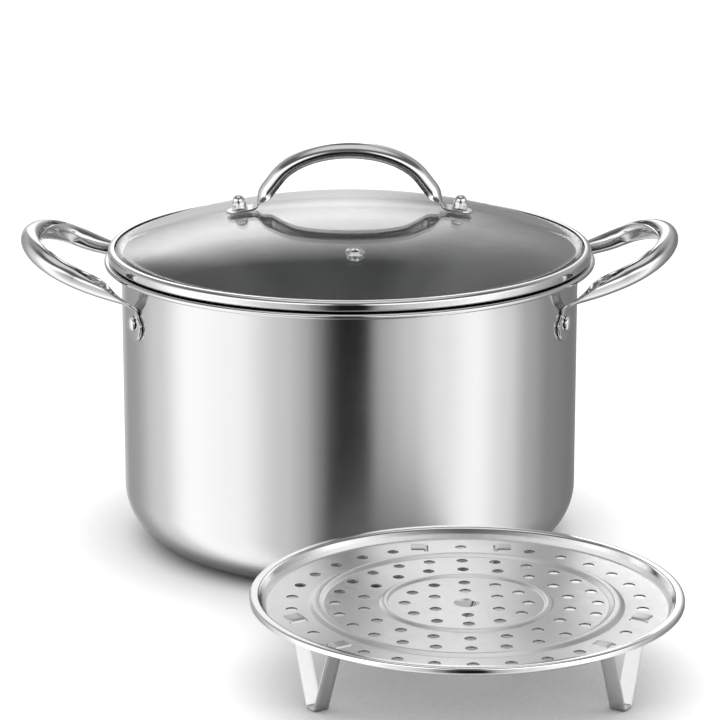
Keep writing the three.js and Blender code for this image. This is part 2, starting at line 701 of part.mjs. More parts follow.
const rack = new THREE.Group();
rack.position.set(1, 0, 0).applyAxisAngle(Z, radians(RACK_HEADING));
rack.position.multiplyScalar(POT_RADIUS + RIM_REACH + RACK_GAP + RACK_RADIUS);
soupPot.add(rack);
const deckMiddle = RACK_DECK - RACK_SHEET / 2;
const wallTopR = RACK_RADIUS - RACK_ROLL;
const wallFootR = wallTopR - RACK_WALL_LEAN;
const rimMiddle = RACK_DECK + RACK_WALL_HEIGHT - RACK_SHEET / 2;
const rimOuter = RACK_RADIUS - RACK_SHEET / 2;
const deckLine = [
  point(RACK_CENTRE_HOLE, deckMiddle),
  ...RACK_RIBS.flatMap(({ radius, width, height }) => [
    point(radius - width / 2, deckMiddle),
    point(radius - width / 5, deckMiddle + height),
    point(radius + width / 5, deckMiddle + height),
    point(radius + width / 2, deckMiddle),
  ]),
  point(wallFootR, deckMiddle),
  point(wallTopR - RACK_ROLL / 8, rimMiddle - RACK_ROLL / 4),
  point(wallTopR + RACK_ROLL / 4, rimMiddle),
  point(rimOuter - RACK_ROLL / 4, rimMiddle),
  point(rimOuter, rimMiddle - RACK_ROLL / 4),
  point(rimOuter, rimMiddle - RACK_ROLL / 2),
];

const legStep = 360 / LEG_RING_COUNT;
const slotAngles = Array.from({ length: LEG_COUNT }, (_, i) => LEG_START + i * 360 / LEG_COUNT)
  .flatMap((leg) => [leg - legStep, leg + legStep]);
const slotHalf = LEG_RING * Math.sin(radians(legStep));
const slotRadius = LEG_RING * Math.cos(radians(legStep));

function isSlot(angle) {
  return slotAngles.some((slot) => Math.abs((angle - slot + 540) % 360 - 180) < legStep / 2);
}

function deckHole(radius, angle) {
  const hole = pin(RACK_HOLE, deckMiddle - RACK_SHEET, deckMiddle + RACK_SHEET, RACK_HOLE_SIDES);
  return hole.translate(radius, 0, 0).rotateZ(radians(angle));
}

// A slot lies beside its leg, its long side along the leg's width
function legSlot(leg, side) {
  const slot = new THREE.BoxGeometry(
    LEG_WIDTH + 2 * HOLE_PLAY, LEG_SHEET + 2 * HOLE_PLAY, 2 * RACK_SHEET,
  );
  return slot.translate(slotRadius, side * slotHalf, deckMiddle).rotateZ(radians(leg));
}

const deckCuts = [];
for (const { radius, count, start } of RACK_RINGS) {
  for (let i = 0; i < count; i++) deckCuts.push(deckHole(radius, start + i * 360 / count));
}
for (let i = 0; i < LEG_RING_COUNT; i++) {
  const angle = LEG_START + i * legStep;
  if (!isSlot(angle)) deckCuts.push(deckHole(LEG_RING, angle));
}
for (let i = 0; i < LEG_COUNT; i++) {
  const leg = LEG_START + i * 360 / LEG_COUNT;
  deckCuts.push(legSlot(leg, 1), legSlot(leg, -1));
}
const deckSheet = revolve(sheetOutline(deckLine, RACK_SHEET), ROUND_RACK);
addMesh(rack, 'rack_plate', cut(deckSheet, deckCuts), brushed);

// Rack legs: a strip bent into a narrow V, its ends folded over the deck

function legGeometry() {
  const fold = RACK_DECK + SEAT + LEG_SHEET / 2;
  const floor = LEG_SHEET / 2;
  const at = (y, z) => new THREE.Vector3(slotRadius, y, z);
  const bends = [
    at(slotHalf + LEG_FOLD, fold),
    at(slotHalf, fold),
    at(slotHalf, fold - 2 * LEG_BEND),
    at(LEG_FOOT, floor),
  ];
  const line = [...bends, ...bends.map((corner) => at(-corner.y, corner.z)).reverse()];
  const path = new THREE.CurvePath();
  let from = line[0];
  for (let i = 1; i + 1 < line.length; i++) {
    const into = line[i].clone().sub(line[i - 1]).normalize();
    const out = line[i + 1].clone().sub(line[i]).normalize();
    const start = line[i].clone().addScaledVector(into, -LEG_BEND);
    const stop = line[i].clone().addScaledVector(out, LEG_BEND);
    if (start.distanceTo(from) > 0.01) path.add(new THREE.LineCurve3(from, start));
    path.add(new THREE.QuadraticBezierCurve3(start, line[i], stop));
    from = stop;
  }
  path.add(new THREE.LineCurve3(from, line[line.length - 1]));
  const radial = new THREE.Vector3(1, 0, 0);
  const stations = [];
  for (const curve of path.curves) {
    const samples = curve.isLineCurve3 ? [0, 1] : [1 / 3, 2 / 3];
    for (const t of samples) {
      const along = curve.getTangent(t);
      const outer = along.clone().cross(radial).normalize();
      stations.push({ place: curve.getPoint(t), along, outer, width: LEG_WIDTH });
    }
  }
  return rolledStrip(stations, LEG_SHEET, 1);
}

for (let i = 0; i < LEG_COUNT; i++) {
  const leg = addMesh(rack, `rack_leg_${i + 1}`, legGeometry(), brushed);
  leg.rotation.z = radians(LEG_START + i * 360 / LEG_COUNT);
}

export default soupPot;
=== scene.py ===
"""Stainless steel soup pot with a glass lid and a steaming rack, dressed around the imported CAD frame.

Shapes are written in millimetres in the CAD frame, +Z up, and become metres when a piece is made.
"""

import math

import bmesh
import bpy
from mathutils import Matrix, Vector


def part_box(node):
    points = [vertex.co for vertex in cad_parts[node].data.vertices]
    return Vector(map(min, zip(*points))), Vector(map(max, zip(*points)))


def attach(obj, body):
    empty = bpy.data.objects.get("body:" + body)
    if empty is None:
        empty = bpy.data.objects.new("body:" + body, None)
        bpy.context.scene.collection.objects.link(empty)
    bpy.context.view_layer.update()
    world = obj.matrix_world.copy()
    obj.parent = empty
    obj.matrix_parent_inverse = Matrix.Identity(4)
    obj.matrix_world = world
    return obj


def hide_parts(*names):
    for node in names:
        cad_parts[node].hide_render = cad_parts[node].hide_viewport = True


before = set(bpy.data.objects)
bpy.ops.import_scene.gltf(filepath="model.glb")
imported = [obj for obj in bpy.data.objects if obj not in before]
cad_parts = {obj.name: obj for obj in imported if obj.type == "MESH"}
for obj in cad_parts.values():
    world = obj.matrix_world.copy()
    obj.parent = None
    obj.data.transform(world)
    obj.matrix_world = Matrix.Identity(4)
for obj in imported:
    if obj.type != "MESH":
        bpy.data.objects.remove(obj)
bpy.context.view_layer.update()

MM = 0.001
Z = Vector((0, 0, 1))

# Fits and smoothness
SEAT = 0.3                 # gap left between a piece and its seat
SIDES = 192                # round the pot, the lid and the rack
SIDES_SMALL = 48           # round fasteners
SECTION = 20               # steps across a rolled strip
EDGE = 5                   # steps round a strip's edge
SETBACK_LIMIT = 0.48       # share of a side that a rounded corner may take up
FLAT_ROLL = 1e-4           # a strip rolled through less than this, in radians, counts as flat
END_START = 12             # angle of the first station round a strip's end
END_THINNEST = 0.3         # share of the sheet left at the very end
HEAD_EDGE = 0.25           # share of a domed head's height that is straight

# Pot
POT_RADIUS = 120
POT_HEIGHT = 151.3
POT_WALL = 1
POT_FLOOR = 2.6
POT_CORNER = 29
RIM_REACH = 9
RIM_BEAD = 1.35
RIM_DROP = 0.5             # rolled edge below the rim's top
RIM_BEND = 1.5
RIM_POLISH = 3.8           # polished depth below the pot's top

# Lid
BAND_REACH = 7.1
BAND_SHEET = 0.6
BAND_CORNER = 2.4          # rounding of the band's upper edge
BAND_FOOT = 1.6            # rounding of its lower edge
BAND_LIP = 3.6
SKIRT_DEPTH = 5.4
SKIRT_PLAY = 0.8
GLASS_THICKNESS = 4
GLASS_RISE = 22.2
GLASS_EDGE_DEPTH = 3.6
VENT_DISTANCE = 78
VENT_HEADING = -88
VENT_BORE = 2
VENT_TUBE = 0.7
VENT_FLANGE = 5
VENT_FLANGE_HEIGHT = 1.6
VENT_ROUNDING = 0.4
VENT_WASHER = 4.4
VENT_WASHER_HEIGHT = 0.8

# Lid handle and its bolts
BOLT_SPACING = 114.4
SHANK = 1.7
GASKET_RADIUS = 6
GASKET_HEIGHT = 0.5
WASHER_RADIUS = 4.8
WASHER_HEIGHT = 0.8
HEAD_RADIUS = 3.8
HEAD_HEIGHT = 2.4
NUT_FLATS = 7
NUT_HEX = 2.6
NUT_DOME = 3.2
NUT_HEIGHT = 7
NUT_FLANGE = 4.2
NUT_FLANGE_HEIGHT = 0.6
NUT_FLANGE_BEVEL = 0.15
NUT_HEX_BEVEL = 0.1
NUT_CORNER_DROP = 0.5      # how far the hexagon's corners are turned down
NUT_SHOULDER = 0.25        # flat ring round the dome's foot
LID_HANDLE_SHEET = 1.2
LID_GRIP = 4.1
LID_GRIP_SPREAD = 1.4
LID_GRIP_ROLL = 280
LID_HANDLE_RISE = 33.1
LID_ARCH_HALF = 40.6
LID_ARCH_HEIGHT = 23.3
LID_FOOT_WIDTH = 14
LID_FOOT_TOE = 7.4
LID_FOOT_HEEL = 8
LID_HEEL_BEND = 2
LID_OPEN = 10              # length over which the lid handle rolls up

# Side handles and their rivets
HANDLE_SHEET = 1.5
HANDLE_GRIP = 4.6
HANDLE_ROLL = 335
HANDLE_SEAM = 45           # seam at the nose, above the loop's inner side
ARM_SEAM = 105             # seam along the arms
HANDLE_REACH = 52.6
HANDLE_TILT = 25.2
NOSE_DEPTH = 24
NOSE_HALF = 42.6
HANDLE_BEND = 3.5
BEND_DROP = 16.6
HANDLE_OPEN = 33           # length over which an arm rolls up
ROLL_EASE = 1.5            # above 1 the arm rolls up faster near the tab
TAB_HALF_SPAN = 48.5
TAB_WIDTH = 19
TAB_NECK = 11
RIVET_DROP = 25.2
RIVET_SHANK = 2.2
RIVET_HEAD = 4
RIVET_HEAD_HEIGHT = 2
RIVET_INNER_HEAD = 4.8
RIVET_INNER_HEIGHT = 1.4

# Steaming rack
RACK_SHEET = 0.8
RACK_DECK = 37
RACK_WALL_HEIGHT = 5.5
RACK_WALL_LEAN = 2.8
RACK_ROLL = 4.2
RACK_CENTRE_HOLE = 5.9
RACK_HOLE = 2.8
RACK_BEND = 1.6
RACK_POLISH = 2.2          # height above the deck from which the wall and rim are polished
RACK_RIBS = [(38.7, 4, 1.2), (70.2, 6.8, 1.6)]                            # radius, width, height
RACK_RINGS = [(17, 6, 30), (28.9, 12, 0), (48.6, 18, 10), (61.4, 24, 0)]  # radius, count, start
LEG_RING = 82.1
LEG_RING_COUNT = 30
LEG_COUNT = 3
LEG_START = 90
LEG_WIDTH = 8
LEG_SHEET = 0.9
LEG_FOLD = 7.4
LEG_BEND = 1.6
LEG_FOOT = 3.2
SLOT_PLAY = 0.6


# Shared geometry

def smooth(t):
    return t * t * (3 - 2 * t)


def mix(a, b, t):
    return a + (b - a) * t


def steps(count):
    """Shares from 0 to 1."""
    return [i / count for i in range(count + 1)]


def arc(x, y, radius, start, stop, count):
    """Points on an arc between two angles in degrees."""
    angles = [math.radians(mix(start, stop, t)) for t in steps(count)]
    return [(x + radius * math.cos(a), y + radius * math.sin(a)) for a in angles]


def rounded(corners, radius, count=4, closed=True):
    """An outline with its corners rounded off."""
    points = [Vector(c) for c in corners]
    last = len(points) - 1
    outline = []
    for i, here in enumerate(points):
        if not closed and i in (0, last):
            outline.append(tuple(here))
            continue
        arms = [points[i - 1] - here, points[(i + 1) % len(points)] - here]
        opening = arms[0].angle(arms[1])
        wanted = radius / max(math.tan(opening / 2), 1e-3)
        setback = min(wanted, SETBACK_LIMIT * arms[0].length, SETBACK_LIMIT * arms[1].length)
        start, stop = (here + arm.normalized() * setback for arm in arms)
        for t in steps(count):
            bend = start * (1 - t) ** 2 + here * 2 * t * (1 - t) + stop * t ** 2
            outline.append(tuple(bend))
    return outline


def lathe(outline, sides, radius_at=None):
    """Turns a (radius, height) outline about Z. An outline that is off the axis is closed on itself.
    radius_at(index, angle) gives the radius where the outline isn't round."""
    on_axis = outline[0][0] == 0 and outline[-1][0] == 0
    verts = []
    rows = []
    for i, (r, z) in enumerate(outline):
        row = []
        if r == 0:
            verts.append((0, 0, z))
            row = [len(verts) - 1] * sides
        else:
            for k in range(sides):
                angle = 2 * math.pi * k / sides
                reach = radius_at(i, angle) if radius_at else r
                verts.append((reach * math.cos(angle), reach * math.sin(angle), z))
                row.append(len(verts) - 1)
        rows.append(row)
    pairs = list(zip(rows, rows[1:]))
    if not on_axis:
        pairs.append((rows[-1], rows[0]))
    faces = []
    for low, high in pairs:
        for k in range(sides):
            n = (k + 1) % sides
            corners = dict.fromkeys((low[k], low[n], high[n], high[k]))
            if len(corners) > 2:
                faces.append(tuple(corners))
    return verts, faces


def section_points(half, section):
    """Points round a strip's section: the share across it, the height above the sheet's middle, and the
    reach past the edge. Both edges are half circles."""
    turns = [math.pi * t for t in steps(EDGE)[1:-1]]
    upper = [(t - 0.5, half, 0) for t in steps(section)]
    one_edge = [(0.5, half * math.cos(a), half * math.sin(a)) for a in turns]
    lower = [(0.5 - t, -half, 0) for t in steps(section)]
    other_edge = [(-0.5, -half * math.cos(a), -half * math.sin(a)) for a in turns]
    return upper + one_edge + lower + other_edge


def rolled_point(share, height, past, width, roll):
    """Rise and reach of a section's point once the section is rolled through an angle."""
    angle = roll * share
    rise = 0
    reach = width * share
    if roll > FLAT_ROLL:
        radius = width / roll
        rise = radius * math.cos(angle) - radius
        reach = radius * math.sin(angle)
    rise = rise + height * math.cos(angle) - past * math.sin(angle)
    reach = reach + height * math.sin(angle) + past * math.cos(angle)
    return rise, reach


def strip(stations, sheet, section=SECTION):
    """A strip of sheet with round edges along a line of stations. Each station has its place, the
    direction it runs in, the direction its outer face looks in, its width, the angle that its section
    is rolled through, how far the section stands out, how much it is spread, and its thickness."""
    verts = []
    for s in stations:
        half = s.get("sheet", sheet) / 2
        width = max(s["width"] - 2 * half, 1e-3)
        roll = s.get("roll", 0) * width / s["width"]
        across = s["along"].cross(s["outer"])
        for share, height, past in section_points(half, section):
            rise, reach = rolled_point(share, height, past, width, roll)
            reach *= s.get("spread", 1)
            verts.append(s["place"] + s["outer"] * (s.get("lift", 0) + rise) + across * reach)
    ring = 2 * (section + EDGE)
    faces = []
    for s in range(len(stations) - 1):
        for i in range(ring):
            n = (i + 1) % ring
            faces.append((s * ring + i, s * ring + n, (s + 1) * ring + n, (s + 1) * ring + i))
    faces.append(tuple(reversed(range(ring))))
    faces.append(tuple(range((len(stations) - 1) * ring, len(stations) * ring)))
    return verts, faces


def square_to(along, direction):
    """The part of a direction that is square to another one."""
    return (direction - along * direction.dot(along)).normalized()


def bezier(start, bend, stop, t):
    """Place and direction on a bend between two straight stretches."""
    place = start * (1 - t) ** 2 + bend * 2 * t * (1 - t) + stop * t ** 2
    along = (bend - start) * (1 - t) + (stop - bend) * t
    return place, along.normalized()


def round_end(radius, sheet, count):
    """Setback, width and thickness of the stations that round off a strip's end."""
    ends = []
    for t in steps(count)[:-1]:
        angle = math.radians(mix(END_START, 90, t))
        setback = radius * (1 - math.cos(angle))
        edge = min(setback / (sheet / 2), 1)
        thickness = sheet * max(math.sqrt(1 - (1 - edge) ** 2), END_THINNEST)
        ends.append((setback, 2 * radius * math.sin(angle), thickness))
    return ends


def touch_angle(x, y, half_x, half_y, side):
    """Where a line from a point touches an ellipse, as an angle on the ellipse."""
    spread = math.acos(1 / math.hypot(x / half_x, y / half_y))
    return math.atan2(y / half_y, x / half_x) + side * spread


def with_mirror(stations, mirror):
    """The second half of a strip is the first one seen in a mirror."""
    def flip(v):
        return Vector(a * b for a, b in zip(v, mirror))
    other = []
    for s in stations[:-1]:
        flipped = {"place": flip(s["place"]), "along": -flip(s["along"]), "outer": flip(s["outer"])}
        other.append({**s, **flipped})
    return stations + other[::-1]


def piece(name, shape, material, body, node, place=Matrix(), sharp=35):
    """A mesh in the CAD frame that stands for one CAD node and moves with its body."""
    verts, faces = shape
    mesh = bpy.data.meshes.new(name)
    mesh.from_pydata([tuple(v) for v in verts], [], faces)
    mesh.transform(Matrix.Scale(MM, 4) @ place)
    clean = bmesh.new()
    clean.from_mesh(mesh)
    bmesh.ops.remove_doubles(clean, verts=clean.verts, dist=1e-7)
    bmesh.ops.recalc_face_normals(clean, faces=clean.faces)
    clean.to_mesh(mesh)
    clean.free()
    mesh.shade_smooth()
    mesh.set_sharp_from_angle(angle=math.radians(sharp))
    mesh.materials.append(material)
    obj = bpy.data.objects.new(name, mesh)
    bpy.context.scene.collection.objects.link(obj)
    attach(obj, body)
    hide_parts(node)
    # The photograph has no mirror image of the rack in the pot's wall
    obj.visible_glossy = body != "rack"
    return obj


def cut(obj, shapes, material, sharp=35):
    """Takes these shapes out of a piece, and gives the cut faces their own material."""
    mesh = bpy.data.meshes.new("cutter")
    mesh.materials.append(material)
    joined = bmesh.new()
    for verts, faces in shapes:
        corners = [joined.verts.new(Vector(v) * MM) for v in verts]
        for face in faces:
            joined.faces.new([corners[i] for i in face])
    bmesh.ops.recalc_face_normals(joined, faces=joined.faces)
    joined.to_mesh(mesh)
    joined.free()
    cutter = bpy.data.objects.new("cutter", mesh)
    bpy.context.scene.collection.objects.link(cutter)
    boolean = obj.modifiers.new("cut", "BOOLEAN")
    boolean.operation = "DIFFERENCE"
    boolean.solver = "EXACT"
    boolean.material_mode = "TRANSFER"
    boolean.object = cutter
    bpy.context.view_layer.update()
    evaluated = obj.evaluated_get(bpy.context.evaluated_depsgraph_get())
    result = bpy.data.meshes.new_from_object(evaluated)
    obj.modifiers.clear()
    obj.data = result
    result.shade_smooth()
    result.set_sharp_from_angle(angle=math.radians(sharp))
    bpy.data.objects.remove(cutter)


def prism(corners, low, high):
    """A closed block over an outline, used to cut."""
    n = len(corners)
    verts = [(x, y, z) for z in (low, high) for x, y in corners]
    faces = [tuple(reversed(range(n))), tuple(range(n, 2 * n))]
    faces += [(i, (i + 1) % n, n + (i + 1) % n, n + i) for i in range(n)]
    return verts, faces


# Materials

class Graph:
    """Adds and links nodes in a material's or the world's tree."""

    def __init__(self, tree):
        self.tree = tree
        tree.nodes.clear()

    def add(self, kind, inputs=(), **settings):
        node = self.tree.nodes.new("ShaderNode" + kind)
        for key, value in settings.items():
            setattr(node, key, value)
        for key, value in dict(inputs).items():
            if isinstance(value, bpy.types.NodeSocket):
                self.tree.links.new(value, node.inputs[key])
            else:
                node.inputs[key].default_value = value
        return node

    def output(self, shader, kind="OutputMaterial"):
        self.add(kind, {"Surface": shader.outputs[0]})

    def math(self, operation, a, b=0.0):
        return self.add("Math", {0: a, 1: b}, operation=operation).outputs[0]

    def noise(self, scale, stretch=(1, 1, 1), detail=3.0):
        place = self.add("TexCoord").outputs["Object"]
        mapped = self.add("Mapping", {"Vector": place, "Scale": stretch}).outputs[0]
        inputs = {"Vector": mapped, "Scale": scale, "Detail": detail, "Roughness": 0.5}
        return self.add("TexNoise", inputs).outputs["Fac"]

    def span(self, value, low, high, start=0.3, stop=0.7):
        """A value between start and stop becomes one between low and high."""
        inputs = {"Value": value, "From Min": start, "From Max": stop, "To Min": low, "To Max": high}
        return self.add("MapRange", inputs).outputs["Result"]

    def ramp(self, value, stops, interpolation="LINEAR"):
        node = self.add("ValToRGB", {"Fac": value})
        node.color_ramp.interpolation = interpolation
        elements = node.color_ramp.elements
        while len(elements) < len(stops):
            elements.new(0.5)
        for element, (place, level) in zip(elements, stops):
            element.position = place
            element.color = (level, level, level, 1) if isinstance(level, (int, float)) else (*level, 1)
        return node.outputs["Color"]


POLISH_ROUGHNESS = 0.1
# Painted shade: the darker colour given to faces inside the pot
PAINTED_INSIDE_SHADE = (0.6, 0.6, 0.605, 1)
SATIN_GRAIN = 500.0
EVEN = (1, 1, 1)


def new_material(name):
    material = bpy.data.materials.new(name)
    material.use_nodes = True
    return material, Graph(material.node_tree)


def steel(name, dark, light, roughness, grain_scale, stretch, depth,
          brushed=0.0, polished_above=None, inside=None):
    """Stainless steel. A fine grain drives its colour, roughness and bump, and broad clouds its gloss.
    It may be polished above a height in metres, and given painted shade: a darker colour on faces that
    look at a point inside."""
    material, g = new_material(name)
    grain = g.noise(grain_scale, stretch, detail=4.0)
    clouds = g.noise(14.0, detail=2.0)
    colour = g.ramp(grain, [(0.3, dark), (0.7, light)])
    low, high = roughness
    gloss = g.math("ADD", g.span(grain, low, high), g.span(clouds, -0.02, 0.03))
    if polished_above:
        height = g.add("SeparateXYZ", {0: g.add("TexCoord").outputs["Object"]}).outputs["Z"]
        polish = g.span(height, 0, 1, polished_above, polished_above + MM)
        gloss = g.span(polish, gloss, POLISH_ROUGHNESS, 0, 1)
    # Painted shade: faces that look at the point inside get the darker colour
    if inside:
        place = g.add("TexCoord").outputs["Object"]
        normal = g.add("NewGeometry").outputs["Normal"]
        offset = g.add("VectorMath", {0: place, 1: inside}, operation="SUBTRACT").outputs[0]
        facing = g.add("VectorMath", {0: offset, 1: normal}, operation="DOT_PRODUCT").outputs["Value"]
        shade = g.math("LESS_THAN", facing, 0.0)
        darker = g.add("Mix", {"Factor": shade, "A": colour, "B": PAINTED_INSIDE_SHADE}, data_type="RGBA")
        colour = darker.outputs["Result"]
    bump = g.add("Bump", {"Height": grain, "Strength": 0.35, "Distance": depth})
    inputs = {
        "Base Color": colour, "Metallic": 1.0, "Roughness": gloss, "Normal": bump.outputs[0],
        "Anisotropic": brushed, "Anisotropic Rotation": 0.25,
    }
    if brushed:
        inputs["Tangent"] = g.add("Tangent", direction_type="RADIAL", axis="Z").outputs[0]
    g.output(g.add("BsdfPrincipled", inputs))
    return material


def clear_glass(name):
    """Tempered glass with a faint green cast and the slightest smears."""
    material, g = new_material(name)
    smears = g.noise(22.0, detail=5.0)
    inputs = {
        "Base Color": g.ramp(smears, [(0.35, (0.97, 0.985, 0.98)), (0.65, (0.985, 0.995, 0.99))]),
        "Roughness": g.span(smears, 0.0, 0.002),
        "IOR": 1.5,
        "Transmission Weight": 1.0,
    }
    g.output(g.add("BsdfPrincipled", inputs))
    return material


def silicone_rubber(name):
    """Pale cast silicone with a faint mottle."""
    material, g = new_material(name)
    cast = g.noise(300.0, detail=2.0)
    bump = g.add("Bump", {"Height": cast, "Strength": 0.3, "Distance": 0.0001})
    inputs = {
        "Base Color": g.ramp(cast, [(0.3, (0.62, 0.62, 0.60)), (0.7, (0.70, 0.70, 0.68))]),
        "Roughness": g.span(cast, 0.42, 0.55),
        "Normal": bump.outputs[0],
    }
    g.output(g.add("BsdfPrincipled", inputs))
    return material


# The pot's inside gets painted shade, a darker colour on faces that look at its middle
brushed_steel = steel("brushed steel", (0.72, 0.72, 0.725), (0.745, 0.745, 0.75), (0.18, 0.22),
                      60.0, (1, 1, 110), 4e-6, brushed=0.85,
                      polished_above=(POT_HEIGHT - RIM_POLISH) * MM, inside=(0, 0, POT_HEIGHT / 2 * MM))
polished_steel = steel("polished steel", (0.74, 0.74, 0.74), (0.79, 0.79, 0.785), (0.07, 0.12),
                       900.0, EVEN, 3e-6)
# Painted light: the rack plate's steel is given a near-white colour, lighter than the legs' steel, so that
# the deck looks bright
rack_steel_painted_bright = steel("satin rack steel painted bright", (0.93, 0.93, 0.93), (0.96, 0.96, 0.96), (0.3, 0.38),
                   SATIN_GRAIN, EVEN, 4e-6, polished_above=(RACK_DECK + RACK_POLISH) * MM)
leg_steel = steel("satin leg steel", (0.68, 0.68, 0.68), (0.72, 0.72, 0.72), (0.28, 0.36),
                  SATIN_GRAIN, EVEN, 4e-6)
# Painted shade: the cut faces of the holes and slots are given a dark colour so that the holes look dark
hole_shade_steel = steel("punched edge painted shade", (0.2, 0.2, 0.2), (0.26, 0.26, 0.26), (0.4, 0.5),
                   SATIN_GRAIN, EVEN, 4e-6)
lid_glass = clear_glass("lid glass")
silicone = silicone_rubber("silicone")


# Pot body: base, rounded corner, wall and rolled rim in one drawn sheet

pot_inner = POT_RADIUS - POT_WALL
inner_corner = POT_CORNER - POT_WALL


def pot_outline():
    bend_r = POT_RADIUS + RIM_BEND
    bend_z = POT_HEIGHT - POT_WALL - RIM_BEND
    bead_r = POT_RADIUS + RIM_REACH - RIM_BEAD
    bead_z = POT_HEIGHT - RIM_DROP - RIM_BEAD
    wall = [(POT_RADIUS, mix(POT_CORNER, bend_z, t)) for t in steps(8)[1:-1]]
    inner_wall = [(pot_inner, mix(bend_z, POT_FLOOR + inner_corner, t)) for t in steps(8)[1:-1]]
    return [
        (0, 0),
        *[(mix(0, POT_RADIUS - POT_CORNER, t), 0) for t in steps(6)[1:-1]],
        *arc(POT_RADIUS - POT_CORNER, POT_CORNER, POT_CORNER, -90, 0, 20),
        *wall,
        *arc(bend_r, bend_z, RIM_BEND, 180, 90, 6),
        *arc(bead_r, bead_z, RIM_BEAD, 170, 450, 20),
        *arc(bend_r, bend_z, RIM_BEND + POT_WALL, 90, 180, 8),
        *inner_wall,
        *arc(pot_inner - inner_corner, POT_FLOOR + inner_corner, inner_corner, 0, -90, 20),
        *[(mix(pot_inner - inner_corner, 0, t), POT_FLOOR) for t in steps(6)[1:-1]],
        (0, POT_FLOOR),
    ]


piece("pot_shell", lathe(pot_outline(), SIDES), brushed_steel, "pot", "pot_body")


# Side handles: a strip riveted to the wall at both ends and rolled up into a hollow grip

tab_radius = POT_RADIUS + SEAT + HANDLE_SHEET / 2
tab_angle = math.asin(TAB_HALF_SPAN / tab_radius)
rivet_z = POT_HEIGHT - RIVET_DROP


def handle_stations():
    """Half of a side handle, from the tab on the wall to the tip of the loop, and its mirror image."""
    wall_out = Vector((math.cos(tab_angle), math.sin(tab_angle), 0))
    tilt = math.radians(HANDLE_TILT)
    foot = wall_out * tab_radius
    bend = foot + Z * (POT_HEIGHT - BEND_DROP)
    nose_centre = POT_RADIUS + HANDLE_REACH - HANDLE_GRIP - HANDLE_SHEET / 2 - NOSE_DEPTH
    touch = touch_angle(bend.x - nose_centre, bend.y, NOSE_DEPTH, NOSE_HALF, -1)

    def on_nose(angle):
        x = nose_centre + NOSE_DEPTH * math.cos(angle)
        return Vector((x, NOSE_HALF * math.sin(angle), bend.z + (x - bend.x) * math.tan(tilt)))

    arm = (on_nose(touch) - bend).normalized()
    above = Vector((-math.sin(tilt), 0, math.cos(tilt)))
    leaving = square_to(wall_out.cross(Z), arm)
    roll = math.radians(HANDLE_ROLL)
    stations = []

    def away_from_seam(along, degrees):
        """The direction that the back of the roll looks in, with the seam turned by these degrees."""
        seam = math.radians(degrees)
        return above.cross(along) * math.cos(seam) - above * math.sin(seam)

    def on_tab(z, width, sheet=HANDLE_SHEET):
        stations.append({"place": foot + Z * z, "along": Z, "outer": wall_out, "width": width,
                         "roll": width / tab_radius, "sheet": sheet})

    # Tab, from its round end to the fold
    for setback, width, sheet in round_end(TAB_WIDTH / 2, HANDLE_SHEET, 10):
        on_tab(rivet_z - TAB_WIDTH / 2 + setback, width, sheet)
    fold_start = bend - Z * HANDLE_BEND
    for t in steps(5):
        on_tab(mix(rivet_z, fold_start.z, t) if t else rivet_z, mix(TAB_WIDTH, TAB_NECK, smooth(t)))

    # Fold away from the wall
    fold_stop = bend + leaving * HANDLE_BEND
    for t in steps(8)[1:]:
        place, along = bezier(fold_start, bend, fold_stop, t)
        outer = square_to(along, wall_out.lerp(-Z, smooth(t)))
        stations.append({"place": place, "along": along, "outer": outer, "width": TAB_NECK,
                         "roll": TAB_NECK / tab_radius * (1 - t)})

    # Arm, which starts flat and rolls up
    straight = on_nose(touch) - fold_stop
    for t in steps(20)[1:]:
        along = leaving.lerp(arm, smooth(t)).normalized()
        rolled = 1 - (1 - t) ** ROLL_EASE
        stations.append({
            "place": fold_stop + straight.normalized() * (t * HANDLE_OPEN),
            "along": along,
            "outer": square_to(along, (-Z).lerp(away_from_seam(arm, ARM_SEAM), smooth(t))),
            "width": mix(TAB_NECK, roll * HANDLE_GRIP, t),
            "roll": roll * rolled,
            "lift": HANDLE_GRIP * rolled,
        })

    # Nose, fully rolled
    for t in steps(24):
        angle = touch * (1 - t)
        slope = Vector((NOSE_DEPTH * math.sin(angle), -NOSE_HALF * math.cos(angle), 0))
        slope.z = slope.x * math.tan(tilt)
        along = slope.normalized()
        outer = away_from_seam(along, mix(ARM_SEAM, HANDLE_SEAM, smooth(t)))
        stations.append({"place": on_nose(angle), "along": along, "outer": outer,
                         "width": roll * HANDLE_GRIP, "roll": roll, "lift": HANDLE_GRIP})
    return with_mirror(stations, (1, -1, 1))


handle_shape = strip(handle_stations(), HANDLE_SHEET)
for side, turn in (("right", 0), ("left", math.pi)):
    piece(f"side_handle_{side}", handle_shape, polished_steel, "pot", f"handle_{side}",
          Matrix.Rotation(turn, 4, "Z"))


# Rivets: a domed head outside the tab and a flatter one inside the wall

def dome(radius, start, height, count=8):
    """A domed head from its edge to its axis. It faces down if the height is negative."""
    angles = [t * math.pi / 2 for t in steps(count)]
    curve = [(radius * math.cos(a), start + height * (HEAD_EDGE + (1 - HEAD_EDGE) * math.sin(a)))
             for a in angles]
    curve[-1] = (0, curve[-1][1])
    return [(radius, start), *curve]


def rivet_outline():
    out = POT_RADIUS + SEAT + HANDLE_SHEET + SEAT
    inside = math.sqrt(pot_inner ** 2 - RIVET_INNER_HEAD ** 2) - SEAT
    return [
        *dome(RIVET_INNER_HEAD, inside, -RIVET_INNER_HEIGHT)[::-1],
        (RIVET_SHANK, inside),
        (RIVET_SHANK, out),
        *dome(RIVET_HEAD, out, RIVET_HEAD_HEIGHT),
    ]


